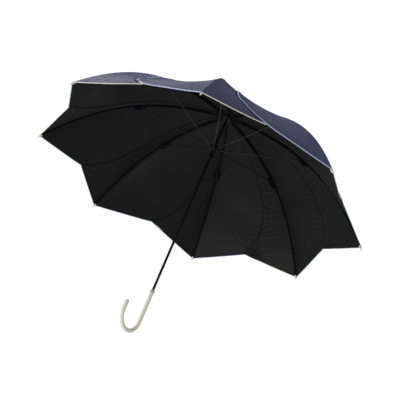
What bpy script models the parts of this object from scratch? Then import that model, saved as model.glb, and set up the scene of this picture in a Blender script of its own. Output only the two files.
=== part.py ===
"""Stick umbrella: eight curved ribs with stretchers on a sliding runner, an
eight-petal canopy with lapped petals, and a crook handle.

Metres, +Z up. The origin is on the shaft axis, at the centre of the ferrule's
flat end, so everything hangs below it. The shapes are worked out from the plane
of the hinge ring of the top notch, and the whole tree is then lowered to the
origin. Rib 1 points along +X and the others follow clockwise seen from above.

A place on the canopy is given by two shares: "along" runs from 0 at the crown
to 1 at a rib's tip, "across" from 0 at one rib to 1 at the next.
"""

import math

import bmesh
import bpy
import numpy as np
from mathutils import Matrix, Vector

# ---------------------------------------------------------------- dimensions
RIBS = 8
STEP = 2 * math.pi / RIBS
GAP = 0.0003                # clearance of moving and fitted parts

# Canopy
CANOPY_R = 0.4315           # tip circle radius
CANOPY_H = 0.5373 * CANOPY_R  # crown above the tip plane
CROWN_LIFT = 0.0045         # cloth above the hinge plane at the notch
CROWN_R = 0.0108            # hinge circle of the notch and of the runner
SLOPE_IN = 0.048            # cloth slope at the crown, rad
SLOPE_TIP = 0.9274          # cloth slope at the tips, rad
PULL_IN = 0.4937 * CANOPY_R   # Bezier handle lengths
PULL_TIP = 0.3908 * CANOPY_R
CURVE_POINTS = 1201

CLOTH = 0.0007              # cloth thickness
LAYER = CLOTH + 0.00035     # lift of the lapped edge
CLOTH_START_R = 0.0135
SAG = 0.063                 # sag between two ribs, share of their distance
HEM_NOTCH_ALONG, HEM_NOTCH_ACROSS = 0.920, 0.511  # where two petals part at the hem

# Linkage
JOINT_ALONG = 0.4325        # stretcher rivet
RIVET_DEPTH = 0.0085        # rivet below the cloth line
RIB_DEPTH = 0.0040          # inner rib centre below the cloth line
RIB_BLEND_ALONG = 0.04      # the rib reaches that depth here
TIP_DEPTH = 0.0028          # outer rib centre below the cloth line at the tip
BEND_BEYOND = 0.027         # flex point past the rivet, along the rib

CHANNEL_W, CHANNEL_H, CHANNEL_T = 0.0040, 0.0032, 0.0007
ROD_R, ROD_TAPER = 0.0015, 0.14  # taper is the share of radius lost at the tip
BAR_W, BAR_H = 0.0018, 0.0022
TONGUE_T = 0.0014
LUG_T, LUG_R = 0.0012, 0.0020
CHEEK_T = 0.0007            # each side of the stretcher's yoke
YOKE_IN = 0.5 * LUG_T + GAP
YOKE_OUT = YOKE_IN + CHEEK_T
RIVET_R, RIVET_HEAD_R, RIVET_HEAD_H = 0.0008, 0.0014, 0.0006
EYE_R, EYE_HOLE = 0.0019, 0.00078
SMALL_STEPS = 8             # segments of eyes, holes, rivets, rods and tip caps
WIRE_R, WIRE_STEPS, WIRE_SECTION_STEPS = 0.0004, 32, 5

# Shaft, notch and runner
SHAFT_R, SHAFT_BORE = 0.0031, 0.0025
SHAFT_TOP = CROWN_LIFT + 0.030
FIT_BORE = SHAFT_R + GAP    # bore of every part fixed on the shaft
TURNED_STEPS = 24           # segments of shaft, notch, runner and collar

HUB_R, HUB_H, HUB_SLOT, HUB_CORE = 0.0130, 0.0090, 0.0021, 0.0084
HUB_CHAMFER = 0.0010
HUB_GROOVE_HALF = 0.0009
HUB_GROOVE_R = CROWN_R - WIRE_R - 0.00035
SLOT_HALF_H = 0.006         # half height of the slot cutters
SLEEVE_R, SLEEVE_LEN = 0.0055, 0.026
RUNNER_BORE = 0.0035
CATCH_GROOVE_R, CATCH_GROOVE_W = 0.0050, 0.0024

# Handle, collar, ferrule and rosette
HANDLE_R, HANDLE_STEPS = 0.0049, 18
HANDLE_TOP = -0.5227
HANDLE_STRAIGHT = 0.0779
HOOK_R, HOOK_STEPS = 0.0347, 18
HOOK_RISE = 0.0227
HOOK_AZIMUTH = math.radians(14.6)
HANDLE_BORE_DEPTH = 0.045
COLLAR_R, COLLAR_H = 0.0057, 0.0075

FERRULE_BASE_R, FERRULE_TIP_R, FERRULE_LEN = 0.0062, 0.0038, 0.046
FERRULE_LOW = CROWN_LIFT + 0.0052
FERRULE_TOP = FERRULE_LOW + FERRULE_LEN
FERRULE_BORE_DEPTH = 0.0285
ROSETTE_R, ROSETTE_MID_R = 0.0175, 0.0100
ROSETTE_Z = CROWN_LIFT + 0.0026

# Spring catches, on the -X side of the shaft
CATCH_ARM = 0.014           # from the foot up to the shoulder
CATCH_OUT = 0.0046
CATCH_X_IN, CATCH_X_OUT = -0.0012, -0.0019  # faces of the leaf
CATCH_HALF_W = 0.0007
WINDOW_HALF_W = 0.0011
WINDOW_BELOW, WINDOW_ABOVE = 0.0105, 0.0014  # window ends from the shoulder

# name: (sRGB colour 0-255, roughness, metallic)
MATERIALS = {
    "navy_cloth": ((62, 66, 88), 0.72, 0.0),
    "cover_cloth": ((24, 26, 40), 0.80, 0.0),
    "black_steel": ((16, 16, 18), 0.35, 0.6),
    "black_rod": ((14, 14, 15), 0.42, 0.0),
    "grey_steel": ((92, 94, 100), 0.34, 0.85),
    "black_moulding": ((13, 13, 14), 0.50, 0.0),
    "ring_wire": ((120, 120, 124), 0.30, 0.9),
    "cream_moulding": ((226, 220, 210), 0.42, 0.0),
    "cap_cream": ((236, 233, 226), 0.40, 0.0),
    "pewter_collar": ((158, 152, 144), 0.30, 0.85),
    "spring_steel": ((140, 142, 148), 0.28, 0.9),
    "ferrule_cream": ((228, 223, 214), 0.40, 0.0),
    "strap_cloth": ((58, 62, 84), 0.75, 0.0),
    "rosette_cloth": ((58, 62, 82), 0.72, 0.0),
}


# ------------------------------------------------------- scene and materials
def clear_scene():
    for obj in list(bpy.data.objects):
        bpy.data.objects.remove(obj, do_unlink=True)
    for blocks in (bpy.data.meshes, bpy.data.materials, bpy.data.curves):
        for item in list(blocks):
            blocks.remove(item)


def linear(value):
    """A linear channel from an sRGB one of 0-255."""
    value /= 255.0
    return value / 12.92 if value <= 0.04045 else ((value + 0.055) / 1.055) ** 2.4


def make_materials():
    for name, (srgb, roughness, metallic) in MATERIALS.items():
        colour = (*map(linear, srgb), 1.0)
        mat = bpy.data.materials.new(name)
        mat.use_nodes = True
        shader = mat.node_tree.nodes["Principled BSDF"]
        shader.inputs["Base Color"].default_value = colour
        shader.inputs["Roughness"].default_value = roughness
        shader.inputs["Metallic"].default_value = metallic
        mat.diffuse_color = colour


def finish(obj, material):
    """Give the object this one material."""
    obj.data.materials.clear()
    obj.data.materials.append(bpy.data.materials[material])
    return obj


# -------------------------------------------------------------- mesh helpers
def add_object(name, data):
    obj = bpy.data.objects.new(name, data)
    bpy.context.scene.collection.objects.link(obj)
    return obj


def mesh_object(name, verts, faces, smooth=None):
    """A mesh object at the origin; smooth is the angle under which edges are soft."""
    mesh = bpy.data.meshes.new(name)
    mesh.from_pydata([tuple(v) for v in verts], [], faces)
    mesh.validate()
    work = bmesh.new()
    work.from_mesh(mesh)
    bmesh.ops.recalc_face_normals(work, faces=work.faces)
    work.to_mesh(mesh)
    work.free()
    obj = add_object(name, mesh)
    if smooth is not None:
        soften(obj, smooth)
    return obj


def soften(obj, angle):
    for poly in obj.data.polygons:
        poly.use_smooth = True
    obj.data.set_sharp_from_angle(angle=angle)


def circle(radius, steps):
    angles = (2 * math.pi * j / steps for j in range(steps))
    return [(radius * math.cos(angle), radius * math.sin(angle)) for angle in angles]


def loft(name, loops, closed=False, smooth=None):
    """Quads between equal rings, with a flat cap on each end, or joined end to start."""
    count = len(loops[0])
    verts = [point for ring in loops for point in ring]
    faces = []
    for i in range(len(loops) if closed else len(loops) - 1):
        low, high = i * count, ((i + 1) % len(loops)) * count
        for j in range(count):
            k = (j + 1) % count
            faces.append((low + j, low + k, high + k, high + j))
    if not closed:
        faces.append(tuple(range(count)))
        faces.append(tuple((len(loops) - 1) * count + j for j in range(count)))
    return mesh_object(name, verts, faces, smooth)


def revolve(name, profile, steps, closed=False, smooth=None):
    """A turned body about Z from (radius, height) pairs; closed joins the last to the first."""
    loops = [[(x, y, z) for x, y in circle(radius, steps)] for radius, z in profile]
    return loft(name, loops, closed, smooth)


def block(name, x0, x1, y0, y1, z0, z1):
    base = ((x0, y0), (x1, y0), (x1, y1), (x0, y1))
    return loft(name, [[(x, y, z) for x, y in base] for z in (z0, z1)])


def plate(name, outline, half):
    """An outline of (x, z) pairs made into a plate, y from -half to +half."""
    return loft(name, [[(x, y, z) for x, z in outline] for y in (-half, half)])


def combine(obj, other, operation):
    """Bake the exact Boolean of two meshes into the first; the second is removed."""
    mod = obj.modifiers.new("cut", "BOOLEAN")
    mod.operation = operation
    mod.solver = "EXACT"
    mod.object = other
    graph = bpy.context.evaluated_depsgraph_get()
    mesh = bpy.data.meshes.new_from_object(obj.evaluated_get(graph))
    obj.modifiers.clear()
    obj.data = mesh
    bpy.data.objects.remove(other, do_unlink=True)


def joined_cutter(name, pieces):
    """Several separate closed meshes as one object."""
    verts, faces = [], []
    for piece in pieces:
        base = len(verts)
        verts += [tuple(v.co) for v in piece.data.vertices]
        faces += [tuple(base + i for i in poly.vertices) for poly in piece.data.polygons]
        bpy.data.objects.remove(piece, do_unlink=True)
    return mesh_object(name, verts, faces)


# ------------------------------------------------------------------- placing
WORLD = {}                  # world matrix of each placed object, by name


def shift_mesh(obj, origin):
    obj.data.transform(Matrix.Translation(-Vector(origin)))


def place(obj, origin, rib=0, parent=None):
    """Put the object at a point given in rib 1's plane, then turned to rib number rib + 1."""
    world = Matrix.Rotation(-STEP * rib, 4, "Z") @ Matrix.Translation(Vector(origin))
    local = world
    if parent is not None:
        obj.parent = parent
        local = WORLD[parent.name].inverted() @ world
    obj.location = local.to_translation()
    obj.rotation_euler = local.to_euler()
    WORLD[obj.name] = world


def copies(master, base_name, origin, material, parents=None):
    """Eight objects with the master's mesh, one on each rib, their origins on the joint."""
    shift_mesh(master, origin)
    made = []
    for k in range(RIBS):
        obj = finish(add_object(f"{base_name}_{k + 1}", master.data.copy()), material)
        place(obj, origin, k, parents[k] if parents else None)
        made.append(obj)
    bpy.data.objects.remove(master, do_unlink=True)
    return made


# ------------------------------------------- the cloth line, as (radius, height)
def unit(vector):
    return vector / np.linalg.norm(vector)


def square_to(direction):
    return np.array([-direction[1], direction[0]])


def curve_points():
    """The cubic Bezier curve of the cloth over a rib."""
    crown = np.array([CROWN_R, CROWN_LIFT])
    tip = np.array([CANOPY_R, CROWN_LIFT - CANOPY_H])
    pull_in = crown + PULL_IN * np.array([math.cos(SLOPE_IN), -math.sin(SLOPE_IN)])
    pull_tip = tip - PULL_TIP * np.array([math.cos(SLOPE_TIP), -math.sin(SLOPE_TIP)])
    t = np.linspace(0, 1, CURVE_POINTS)[:, None]
    return ((1 - t) ** 3 * crown + 3 * (1 - t) ** 2 * t * pull_in
            + 3 * (1 - t) * t * t * pull_tip + t ** 3 * tip)


CURVE = curve_points()
LENGTHS = np.concatenate([[0.0], np.cumsum(np.linalg.norm(np.diff(CURVE, axis=0), axis=1))])
RIB_LENGTH = float(LENGTHS[-1])
BEND_ALONG = JOINT_ALONG + BEND_BEYOND / RIB_LENGTH


def line_at(along):
    """The cloth line over a rib, carried on straight past the tip."""
    length = along * RIB_LENGTH
    if along > 1:
        return CURVE[-1] + unit(CURVE[-1] - CURVE[-2]) * (length - RIB_LENGTH)
    return np.array([np.interp(length, LENGTHS, CURVE[:, i]) for i in (0, 1)])


def tangent_at(along):
    return unit(line_at(along + 0.002) - line_at(max(0.0, along - 0.002)))


def outward_at(along):
    return square_to(tangent_at(along))


def below(along, depth):
    return line_at(along) - depth * outward_at(along)


def rib_depth(along):
    """Depth of the rib's centre under the cloth line."""
    if along < RIB_BLEND_ALONG:
        return CROWN_LIFT + (RIB_DEPTH - CROWN_LIFT) * along / RIB_BLEND_ALONG
    if along < BEND_ALONG:
        return RIB_DEPTH
    share = min(1.0, (along - BEND_ALONG) / (1.0 - BEND_ALONG))
    return RIB_DEPTH + (TIP_DEPTH - RIB_DEPTH) * share


def ring_at(along, section, depth=0.0):
    """A section of (y, out) pairs set square to the rib, out pointing out of the canopy."""
    centre, normal = below(along, depth), outward_at(along)
    return [(centre[0] + normal[0] * out, y, centre[1] + normal[1] * out) for y, out in section]


# -------------------------------------------------------------------- petals
# The curved line on which two neighbouring petals meet: (along, across)
SEAM = (
    (0.0, 0.735), (0.20, 0.750), (0.40, 0.772), (0.486, 0.780), (0.554, 0.772),
    (0.602, 0.760), (0.668, 0.744), (0.722, 0.722), (0.776, 0.690), (0.832, 0.642),
    (0.873, 0.592), (0.905, 0.537), (HEM_NOTCH_ALONG, HEM_NOTCH_ACROSS),
)
FLAP_OVER = 0.022           # free edge past the seam, in across
FLAP_UNDER = 0.006          # covered edge short of the seam, in across
LAP_FADE = 0.05             # both fade to nothing over this share before the hem notch
LIFT_END = 0.55             # share of a petal's width at which it has its full lift
# Rows of a petal as along shares; two more follow, halfway to the hem and on it
PETAL_ROWS = (0.10, 0.21, 0.32, 0.41, 0.45, 0.49, 0.56, 0.63, 0.71, 0.79, 0.85, 0.90)
# Columns: -1 is the covered edge, 0 the rib, 1 the free edge
PETAL_COLUMNS = (-1.0, -0.5, 0.0, 0.30, 0.58, 1.0)


def ramp(x):
    x = min(1.0, max(0.0, x))
    return x * x * (3 - 2 * x)


def sag_at(along, across):
    """Depth of the cloth under the straight line from rib to rib. It grows from
    nothing at the crown and falls back to a fifth toward the hem."""
    width = 2 * line_at(along)[0] * math.sin(0.5 * STEP)
    share = SAG * ramp((along - 0.05) / 0.30) * (1 - 0.80 * ramp((along - 0.64) / 0.28))
    return width * share * (4 * across * (1 - across)) ** 0.9


def gore_point(gore, along, across, lift):
    """A point of the cloth in the gore between rib number gore and the next."""
    radius, z = line_at(along)
    start, end = (Vector((radius * math.cos(angle), radius * math.sin(angle), z))
                  for angle in (-STEP * gore, -STEP * (gore + 1)))
    run = tangent_at(along)
    facing = -STEP * gore
    if across != 0:
        # Between the ribs the normal is that of the flat gore
        run = unit(run * (math.cos(0.5 * STEP), 1.0))
        facing -= 0.5 * STEP
    normal = Vector((-run[1] * math.cos(facing), -run[1] * math.sin(facing), run[0]))
    return start.lerp(end, across) + normal * (lift - sag_at(along, across))


def seam_across(along):
    return float(np.interp(min(along, HEM_NOTCH_ALONG), *zip(*SEAM)))


def petal_spot(column, along):
    """Gore, along, across and lift of a grid point on the petal over rib 1."""
    fade = ramp((HEM_NOTCH_ALONG - along) / LAP_FADE)
    if column < 0:
        edge = seam_across(along) - FLAP_UNDER * fade
        return -1, along, 1.0 + column * (1.0 - edge), 0.0
    edge = seam_across(along) + FLAP_OVER * fade
    return 0, along, column * edge, LAYER * ramp(column / LIFT_END)


def make_petal():
    """One sheet over rib 1, reaching under the petal before it and over the one after it."""
    start = np.interp(CLOTH_START_R, CURVE[:, 0], LENGTHS) / RIB_LENGTH
    spots = []
    for column in PETAL_COLUMNS:
        # The scalloped hem runs from the tip to the hem notch on each side
        hem = 1.0 - (1.0 - HEM_NOTCH_ALONG) * abs(column)
        rows = (start, *PETAL_ROWS, 0.5 * (PETAL_ROWS[-1] + hem), hem)
        spots += [petal_spot(column, along) for along in rows]
    verts = [gore_point(gore, along, across, lift + sheet)
             for sheet in (0.0, CLOTH) for gore, along, across, lift in spots]
    columns, rows = len(PETAL_COLUMNS), len(PETAL_ROWS) + 3

    def at(c, r, top):
        return top * columns * rows + c * rows + r

    faces = []
    for c in range(columns - 1):
        for r in range(rows - 1):
            faces.append((at(c, r, 1), at(c, r + 1, 1), at(c + 1, r + 1, 1), at(c + 1, r, 1)))
            faces.append((at(c, r, 0), at(c + 1, r, 0), at(c + 1, r + 1, 0), at(c, r + 1, 0)))
    rim = [(c, 0) for c in range(columns)]
    rim += [(columns - 1, r) for r in range(1, rows)]
    rim += [(c, rows - 1) for c in range(columns - 2, -1, -1)]
    rim += [(0, r) for r in range(rows - 2, 0, -1)]
    for here, after in zip(rim, rim[1:] + rim[:1]):
        faces.append((at(*here, 0), at(*here, 1), at(*after, 1), at(*after, 0)))
    return mesh_object("petal", verts, faces, math.radians(28))


def make_tie_strap():
    """A strap on the outside of the petal, along the rib, narrower at its outer end."""
    low = CLOTH + 0.0005
    high = low + 0.0009
    loops = []
    for along in np.linspace(0.66, 0.93, 7):
        half = 0.0070 * (1.0 if along < 0.90 else 0.7)
        loops.append(ring_at(along, [(-half, low), (half, low), (half, high), (-half, high)]))
    return loft("tie_strap", loops, smooth=math.radians(40))


# ------------------------------------------------- the linkage, in rib 1's plane
HINGE = np.array([CROWN_R, 0.0])
RIVET = below(JOINT_ALONG, RIVET_DEPTH)
RUNNER_PIN = np.array([CROWN_R, 2 * RIVET[1]])  # equal arms keep this pin under the hinge
BEND = below(BEND_ALONG, RIB_DEPTH)
RUNNER_BOTTOM = RUNNER_PIN[1] - 0.5 * HUB_H - SLEEVE_LEN
CATCH_SHOULDERS = {"top_catch": RUNNER_BOTTOM - 0.0006, "bottom_catch": HANDLE_TOP + 0.075}


def xz(point):
    return (float(point[0]), 0.0, float(point[1]))


def sweep_rib(name, stations, section, smooth=None):
    """A section carried along the rib's centre; stations are (along, scale) pairs."""
    loops = [ring_at(along, [(y * scale, out * scale) for y, out in section], rib_depth(along))
             for along, scale in stations]
    return loft(name, loops, smooth=smooth)


def eye_outline(centre, toward, radius, length, half):
    """A round eye whose straight shank, of half height half, runs toward a point."""
    direction = unit(toward - centre)
    normal = square_to(direction)
    heading = math.atan2(direction[1], direction[0])
    spread = math.asin(half / radius)
    points = []
    for j in range(SMALL_STEPS + 1):
        angle = heading + spread + (2 * math.pi - 2 * spread) * j / SMALL_STEPS
        points.append((centre[0] + radius * math.cos(angle), centre[1] + radius * math.sin(angle)))
    end = centre + direction * length
    return points + [tuple(end - normal * half), tuple(end + normal * half)]


def drill(body, centre, radius, half):
    """Cut a hole across the plate at centre, y from -half to +half."""
    outline = [(centre[0] + x, centre[1] + z) for x, z in circle(radius, SMALL_STEPS)]
    combine(body, plate("hole", outline, half), "DIFFERENCE")


def make_rivet():
    """A rivet along Y with a chamfered head on each end."""
    reach, end = YOKE_OUT + GAP, YOKE_OUT + GAP + RIVET_HEAD_H
    crown = 0.7 * RIVET_HEAD_R
    profile = [(crown, -end), (RIVET_HEAD_R, -reach), (RIVET_R, -reach),
               (RIVET_R, reach), (RIVET_HEAD_R, reach), (crown, end)]
    rivet = revolve("rivet", profile, SMALL_STEPS)
    lay_down = Matrix.Rotation(math.pi / 2, 4, "X")
    rivet.data.transform(Matrix.Translation(Vector(xz(RIVET))) @ lay_down)
    return rivet


def make_inner_rib():
    """A channel open below, with a hinge eye, and a lug that carries the rivet."""
    half_w, half_h = 0.5 * CHANNEL_W, 0.5 * CHANNEL_H
    wall_y, roof = half_w - CHANNEL_T, half_h - CHANNEL_T
    section = [(-half_w, -half_h), (-half_w, half_h), (half_w, half_h), (half_w, -half_h),
               (wall_y, -half_h), (wall_y, roof), (-wall_y, roof), (-wall_y, -half_h)]
    start = 0.008 / RIB_LENGTH
    end = BEND_ALONG - 0.0022 / RIB_LENGTH
    stations = [(along, 1.0) for along in (start, *np.linspace(0.055, end, 7))]
    body = sweep_rib("rib", stations, section)

    toward = below(RIB_BLEND_ALONG, RIB_DEPTH)
    tongue = eye_outline(HINGE, toward, EYE_R, length=0.0115, half=0.00125)
    combine(body, plate("tongue", tongue, 0.5 * TONGUE_T), "UNION")
    drill(body, HINGE, EYE_HOLE, 0.002)

    lug_top = below(JOINT_ALONG, RIB_DEPTH - 0.5 * CHANNEL_H + 0.5 * CHANNEL_T)
    span = float(np.linalg.norm(lug_top - RIVET))
    lug = eye_outline(RIVET, lug_top, LUG_R, length=span, half=0.0016)
    combine(body, plate("lug", lug, 0.5 * LUG_T), "UNION")
    combine(body, make_rivet(), "UNION")
    soften(body, math.radians(35))
    return body


def make_outer_rib():
    """A round rod from the flex point to the tip, with a rounded root and a slight taper."""
    # Root stations: (rod radii back from the flex point, scale)
    root = ((0.92, 0.38), (0.60, 0.80), (0.0, 1.0))
    stations = [(BEND_ALONG - back * ROD_R / RIB_LENGTH, scale) for back, scale in root]
    end = 1.0 + 0.0015 / RIB_LENGTH
    for along in np.linspace(BEND_ALONG + 0.06, end, 7):
        stations.append((along, 1.0 - ROD_TAPER * (along - BEND_ALONG) / (1 - BEND_ALONG)))
    return sweep_rib("rod", stations, circle(ROD_R, SMALL_STEPS), smooth=math.radians(50))


def make_stretcher():
    """A bar from the rivet to the runner, with a yoke over the lug and a tongue below."""
    direction = unit(RUNNER_PIN - RIVET)
    inset, side = direction * 0.0085, square_to(direction) * 0.5 * BAR_H
    top, bottom = RIVET + inset, RUNNER_PIN - inset
    bar = [tuple(top + side), tuple(top - side), tuple(bottom - side), tuple(bottom + side)]
    body = plate("bar", bar, 0.5 * BAR_W)

    outline = eye_outline(RIVET, RUNNER_PIN, LUG_R, length=0.0105, half=0.0013)
    yoke = plate("yoke", outline, YOKE_OUT)
    gullet = eye_outline(RIVET, RUNNER_PIN, 0.0035, length=0.0065, half=0.0032)
    combine(yoke, plate("gullet", gullet, YOKE_IN), "DIFFERENCE")
    drill(yoke, RIVET, RIVET_R + GAP, 0.004)
    combine(body, yoke, "UNION")

    tongue = eye_outline(RUNNER_PIN, RIVET, EYE_R, length=0.0110, half=0.00095)
    combine(body, plate("tongue", tongue, 0.5 * TONGUE_T), "UNION")
    drill(body, RUNNER_PIN, EYE_HOLE, 0.002)
    soften(body, math.radians(35))
    return body


def make_joint_cover():
    """A cloth saddle over the rib at the rivet: a top and two side flaps, open below."""
    wall, half, top = 0.0006, 0.0037, 0.0014
    before, length = 0.007, 0.0295      # start before the rivet, and whole length
    flap, flap_bulge = 0.0092, 0.0022   # flap depth at the ends, and more at the middle
    loops = []
    for share in np.linspace(0, 1, 5):
        drop = flap + flap_bulge * math.sin(math.pi * share)
        section = [
            (-half, -drop), (-half, -top - 0.0008), (-half + 0.0010, -top),
            (half - 0.0010, -top), (half, -top - 0.0008), (half, -drop),
            (half - wall, -drop), (half - wall, -top - 0.0010), (half - 0.0013, -top - wall),
            (-half + 0.0013, -top - wall), (-half + wall, -top - 0.0010), (-half + wall, -drop),
        ]
        along = JOINT_ALONG + (length * share - before) / RIB_LENGTH
        loops.append(ring_at(along, section))
    return loft("cover", loops, smooth=math.radians(40))


def make_tip_cap():
    """A moulded cap with a socket for the rod, a waist and a blunt point."""
    centre, tangent, normal = below(1.0, TIP_DEPTH), tangent_at(1.0), outward_at(1.0)
    socket_r = ROD_R * (1 - ROD_TAPER) + GAP
    # (radius, distance past the tip), from the socket's floor round to the point
    profile = [(0.0004, 0.0022), (socket_r, 0.0019), (socket_r, -0.0060), (0.0021, -0.0060),
               (0.0022, -0.0030), (0.0017, -0.0017), (0.0023, -0.0004), (0.0023, 0.0028),
               (0.0013, 0.0056), (0.0006, 0.0092)]
    loops = []
    for radius, past in profile:
        middle = centre + tangent * past
        loops.append([(middle[0] + normal[0] * out, y, middle[1] + normal[1] * out)
                      for y, out in circle(radius, SMALL_STEPS)])
    return loft("cap", loops, smooth=math.radians(40))


# ---------------------------------------------------------- notch and runner
def cut_slots(body, z):
    """Cut a radial slot on each rib, through the hub's edge."""
    pieces = []
    for k in range(RIBS):
        piece = block("slot", HUB_CORE, HUB_R + 0.003, -0.5 * HUB_SLOT, 0.5 * HUB_SLOT,
                      z - SLOT_HALF_H, z + SLOT_HALF_H)
        piece.data.transform(Matrix.Rotation(-STEP * k, 4, "Z"))
        pieces.append(piece)
    combine(body, joined_cutter("slots", pieces), "DIFFERENCE")


def hub_profile(bore, z):
    """Half of the hub's section: a disc with a groove for the wire ring."""
    low, high, face = z - 0.5 * HUB_H, z + 0.5 * HUB_H, HUB_R - HUB_CHAMFER
    groove_low, groove_high = z - HUB_GROOVE_HALF, z + HUB_GROOVE_HALF
    return [(bore, low), (face, low), (HUB_R, low + HUB_CHAMFER), (HUB_R, groove_low),
            (HUB_GROOVE_R, groove_low), (HUB_GROOVE_R, groove_high), (HUB_R, groove_high),
            (HUB_R, high - HUB_CHAMFER), (face, high), (bore, high)]


def make_notch():
    body = revolve("crown_notch", hub_profile(FIT_BORE, 0.0), TURNED_STEPS, closed=True)
    cut_slots(body, 0.0)
    soften(body, math.radians(35))
    return body


def make_runner():
    """A slotted hub on a sleeve with a collar at its foot, grooved inside for the catch."""
    z, bottom = RUNNER_PIN[1], RUNNER_BOTTOM
    hub_low = z - 0.5 * HUB_H
    foot_r = SLEEVE_R + 0.0009
    sleeve = [(RUNNER_BORE, bottom), (foot_r - 0.0003, bottom), (foot_r, bottom + 0.0006),
              (foot_r, bottom + 0.0034), (SLEEVE_R, bottom + 0.0046),
              (SLEEVE_R, hub_low - 0.004), (SLEEVE_R + 0.0022, hub_low)]
    profile = sleeve + hub_profile(RUNNER_BORE, z)[1:]
    body = revolve("runner", profile, TURNED_STEPS, closed=True)
    cut_slots(body, z)
    half = 0.5 * CATCH_GROOVE_W
    groove = block("groove", -CATCH_GROOVE_R, 0.0, -half, half, bottom - 0.001, z + SLOT_HALF_H)
    combine(body, groove, "DIFFERENCE")
    soften(body, math.radians(35))
    return body


def make_wire_ring(name, height):
    """A closed ring of wire threaded through the eyes."""
    section = circle(WIRE_R, WIRE_SECTION_STEPS)
    loops = [[((CROWN_R + out) * x, (CROWN_R + out) * y, height + up) for out, up in section]
             for x, y in circle(1.0, WIRE_STEPS)]
    return loft(name, loops, closed=True, smooth=math.radians(70))


# -------------------------------------------------------- parts on the shaft
def make_shaft():
    """A tube with a window on the -X side for each catch."""
    low = HANDLE_TOP - HANDLE_BORE_DEPTH + 0.003
    profile = [(SHAFT_BORE, low), (SHAFT_R, low), (SHAFT_R, SHAFT_TOP), (SHAFT_BORE, SHAFT_TOP)]
    body = revolve("shaft", profile, TURNED_STEPS, closed=True)
    windows = [block("window", -0.006, -0.0010, -WINDOW_HALF_W, WINDOW_HALF_W,
                     z - WINDOW_BELOW, z + WINDOW_ABOVE) for z in CATCH_SHOULDERS.values()]
    combine(body, joined_cutter("windows", windows), "DIFFERENCE")
    soften(body, math.radians(35))
    return body


def make_catch(name, shoulder):
    """A flat spring inside the tube whose tooth stands out of a window."""
    low, high = shoulder - CATCH_ARM - 0.0010, shoulder + 0.0010
    outline = [(CATCH_X_IN, low), (CATCH_X_IN, high), (CATCH_X_OUT, high),
               (CATCH_X_OUT, shoulder), (-CATCH_OUT, shoulder), (-CATCH_OUT, shoulder - 0.0008),
               (CATCH_X_OUT, shoulder - 0.0100), (CATCH_X_OUT, low)]
    return plate(name, outline, CATCH_HALF_W)


def make_ferrule():
    """A tapered cone on a flange, with a blind bore from below."""
    # (radius, height above the foot), from the bore's end round to the flat tip
    profile = [
        (FIT_BORE, FERRULE_BORE_DEPTH), (FIT_BORE, 0.0), (FERRULE_BASE_R + 0.0016, 0.0),
        (FERRULE_BASE_R + 0.0020, 0.0008), (FERRULE_BASE_R + 0.0018, 0.0030),
        (FERRULE_BASE_R, 0.0050), (FERRULE_TIP_R + 0.0003, FERRULE_LEN - 0.004),
        (FERRULE_TIP_R, FERRULE_LEN - 0.0006), (FERRULE_TIP_R - 0.0006, FERRULE_LEN),
    ]
    profile = [(radius, FERRULE_LOW + z) for radius, z in profile]
    return revolve("ferrule", profile, 20, smooth=math.radians(35))


def make_rosette():
    """A thin cloth disc round the shaft, under the ferrule."""
    profile = [(FIT_BORE, 0.0008), (ROSETTE_MID_R, 0.0004), (ROSETTE_R, -0.0004),
               (ROSETTE_R, 0.0006), (ROSETTE_MID_R, 0.0016), (FIT_BORE, 0.0022)]
    profile = [(radius, ROSETTE_Z + z) for radius, z in profile]
    return revolve("crown_rosette", profile, 32, closed=True, smooth=math.radians(50))


def make_collar():
    low = HANDLE_TOP + GAP
    high = low + COLLAR_H
    profile = [(FIT_BORE, low), (COLLAR_R - 0.0006, low), (COLLAR_R, low + 0.0006),
               (COLLAR_R, high - 0.0016), (COLLAR_R - 0.0008, high - 0.0004),
               (COLLAR_R - 0.0018, high), (FIT_BORE, high)]
    return revolve("handle_collar", profile, TURNED_STEPS, closed=True, smooth=math.radians(35))


def handle_ring(offset, height, turned, radius):
    """A ring round the crook's path, offset toward the hook; turned is 0 going down, pi up."""
    cos_hook, sin_hook = math.cos(HOOK_AZIMUTH), math.sin(HOOK_AZIMUTH)
    points = []
    for out, side in circle(radius, HANDLE_STEPS):
        x = offset + out * math.cos(turned)
        points.append((x * cos_hook - side * sin_hook, x * sin_hook + side * cos_hook,
                       height + out * math.sin(turned)))
    return points


def make_handle():
    """A crook: straight down, round a half turn and up to a flat end, bored for the shaft."""
    top, bend = HANDLE_TOP, HANDLE_TOP - HANDLE_STRAIGHT
    # (height, radius) from the bore's floor, over the top edge and down the straight
    straight = ((top - HANDLE_BORE_DEPTH, FIT_BORE), (top, FIT_BORE), (top, HANDLE_R - 0.0006),
                (top - 0.0006, HANDLE_R), (0.5 * (top + bend), HANDLE_R))
    loops = [handle_ring(0, z, 0, radius) for z, radius in straight]
    for j in range(HOOK_STEPS + 1):
        turned = math.pi * j / HOOK_STEPS
        loops.append(handle_ring(HOOK_R * (1 - math.cos(turned)),
                                 bend - HOOK_R * math.sin(turned), turned, HANDLE_R))
    # (distance below the end, radius) of the rounded end
    for drop, radius in ((0.0022, HANDLE_R), (0.0008, HANDLE_R - 0.0006), (0.0, HANDLE_R - 0.0018)):
        loops.append(handle_ring(2 * HOOK_R, bend + HOOK_RISE - drop, math.pi, radius))
    return loft("handle", loops, smooth=math.radians(40))


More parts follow.
